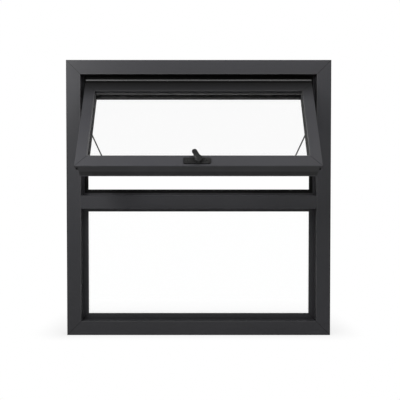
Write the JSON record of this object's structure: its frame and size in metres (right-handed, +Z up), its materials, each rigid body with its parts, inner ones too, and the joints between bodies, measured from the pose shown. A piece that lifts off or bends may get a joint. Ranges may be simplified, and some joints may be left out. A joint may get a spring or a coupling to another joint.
{
  "type": "top hung awning window",
  "caption": "Charcoal metal window: a top hung sash propped open on side stays, over a fixed glazed light.",
  "frame": {"origin": "middle of the sill's flat underside", "axes": "+X along the width to the viewer's right, +Y into the wall away from the face, +Z up"},
  "size_m": [0.9, 0.3033, 0.938],
  "materials": {
    "frame_coat": "charcoal powder coat, satin",
    "sash_coat": "charcoal powder coat, satin",
    "bead_coat": "charcoal powder coat, satin",
    "handle_finish": "charcoal powder coat, satin",
    "seal": "black rubber, matt",
    "glass": "clear sealed unit",
    "spacer": "dark anodised",
    "hinge_pin": "stainless rod",
    "stay_metal": "satin stainless"
  },
  "bodies": {
    "stay_rod_left": {"stay_rod_left": "stay_metal"},
    "stay_tube_left": {"stay_tube_left": "stay_metal"},
    "stay_rod_right": {"stay_rod_right": "stay_metal"},
    "stay_tube_right": {"stay_tube_right": "stay_metal"},
    "frame": {"fixed_bead_bottom": "bead_coat", "fixed_bead_left": "bead_coat", "fixed_bead_right": "bead_coat", "fixed_bead_top": "bead_coat", "fixed_gasket_back": "seal", "fixed_gasket_front": "seal", "fixed_pane_back": "glass", "fixed_pane_front": "glass", "fixed_spacer": "spacer", "frame_head": "frame_coat", "frame_jamb_left": "frame_coat", "frame_jamb_right": "frame_coat", "frame_sill": "frame_coat", "hinge_leaf_frame": "frame_coat", "hinge_pin": "hinge_pin", "stay_bracket_left": "stay_metal", "stay_bracket_right": "stay_metal", "transom": "frame_coat", "vent_gasket": "seal"},
    "sash": {"handle_base": "handle_finish", "hinge_leaf_sash": "sash_coat", "sash_bead_bottom": "bead_coat", "sash_bead_left": "bead_coat", "sash_bead_right": "bead_coat", "sash_bead_top": "bead_coat", "sash_bottom_rail": "sash_coat", "sash_gasket_back": "seal", "sash_gasket_front": "seal", "sash_pane_back": "glass", "sash_pane_front": "glass", "sash_spacer": "spacer", "sash_stile_left": "sash_coat", "sash_stile_right": "sash_coat", "sash_top_rail": "sash_coat", "stay_foot_left": "stay_metal", "stay_foot_right": "stay_metal"},
    "handle": {"handle_lever": "handle_finish"}
  },
  "joints": [
    {"name": "sash_hinge", "type": "hinge", "parent": "frame", "child": "sash", "pos_m": [0, -0.0345, 0.869], "axis": [1, 0, 0], "range_deg": [0, 36.3]},
    {"name": "handle_turn", "type": "hinge", "parent": "sash", "child": "handle", "pos_m": [0, -0.25032, 0.59377], "axis": [0, -0.8059, 0.592], "range_deg": [-25, 65]},
    {"name": "stay_swing_left", "type": "hinge", "parent": "frame", "child": "stay_rod_left", "pos_m": [-0.384, 0.0322, 0.71257], "axis": [0.8791, 0.0576, 0.4732], "range_deg": [0, 48.88]},
    {"name": "stay_slide_left", "type": "slide", "parent": "stay_rod_left", "child": "stay_tube_left", "axis": [-0.3533, 0.745, 0.5658], "range_m": [0, 0.07393]},
    {"name": "stay_swing_right", "type": "hinge", "parent": "frame", "child": "stay_rod_right", "pos_m": [0.384, 0.0322, 0.71257], "axis": [0.8791, -0.0576, -0.4732], "range_deg": [0, 48.88]},
    {"name": "stay_slide_right", "type": "slide", "parent": "stay_rod_right", "child": "stay_tube_right", "axis": [0.3533, 0.745, 0.5658], "range_m": [0, 0.07393]}
  ],
  "couplings": [
    {"joint": "stay_swing_left", "follows": "sash_hinge", "ratio": 1.3463},
    {"joint": "stay_slide_left", "follows": "sash_hinge", "m_per_rad": 0.11667},
    {"joint": "stay_swing_right", "follows": "sash_hinge", "ratio": 1.3463},
    {"joint": "stay_slide_right", "follows": "sash_hinge", "m_per_rad": 0.11667}
  ]
}
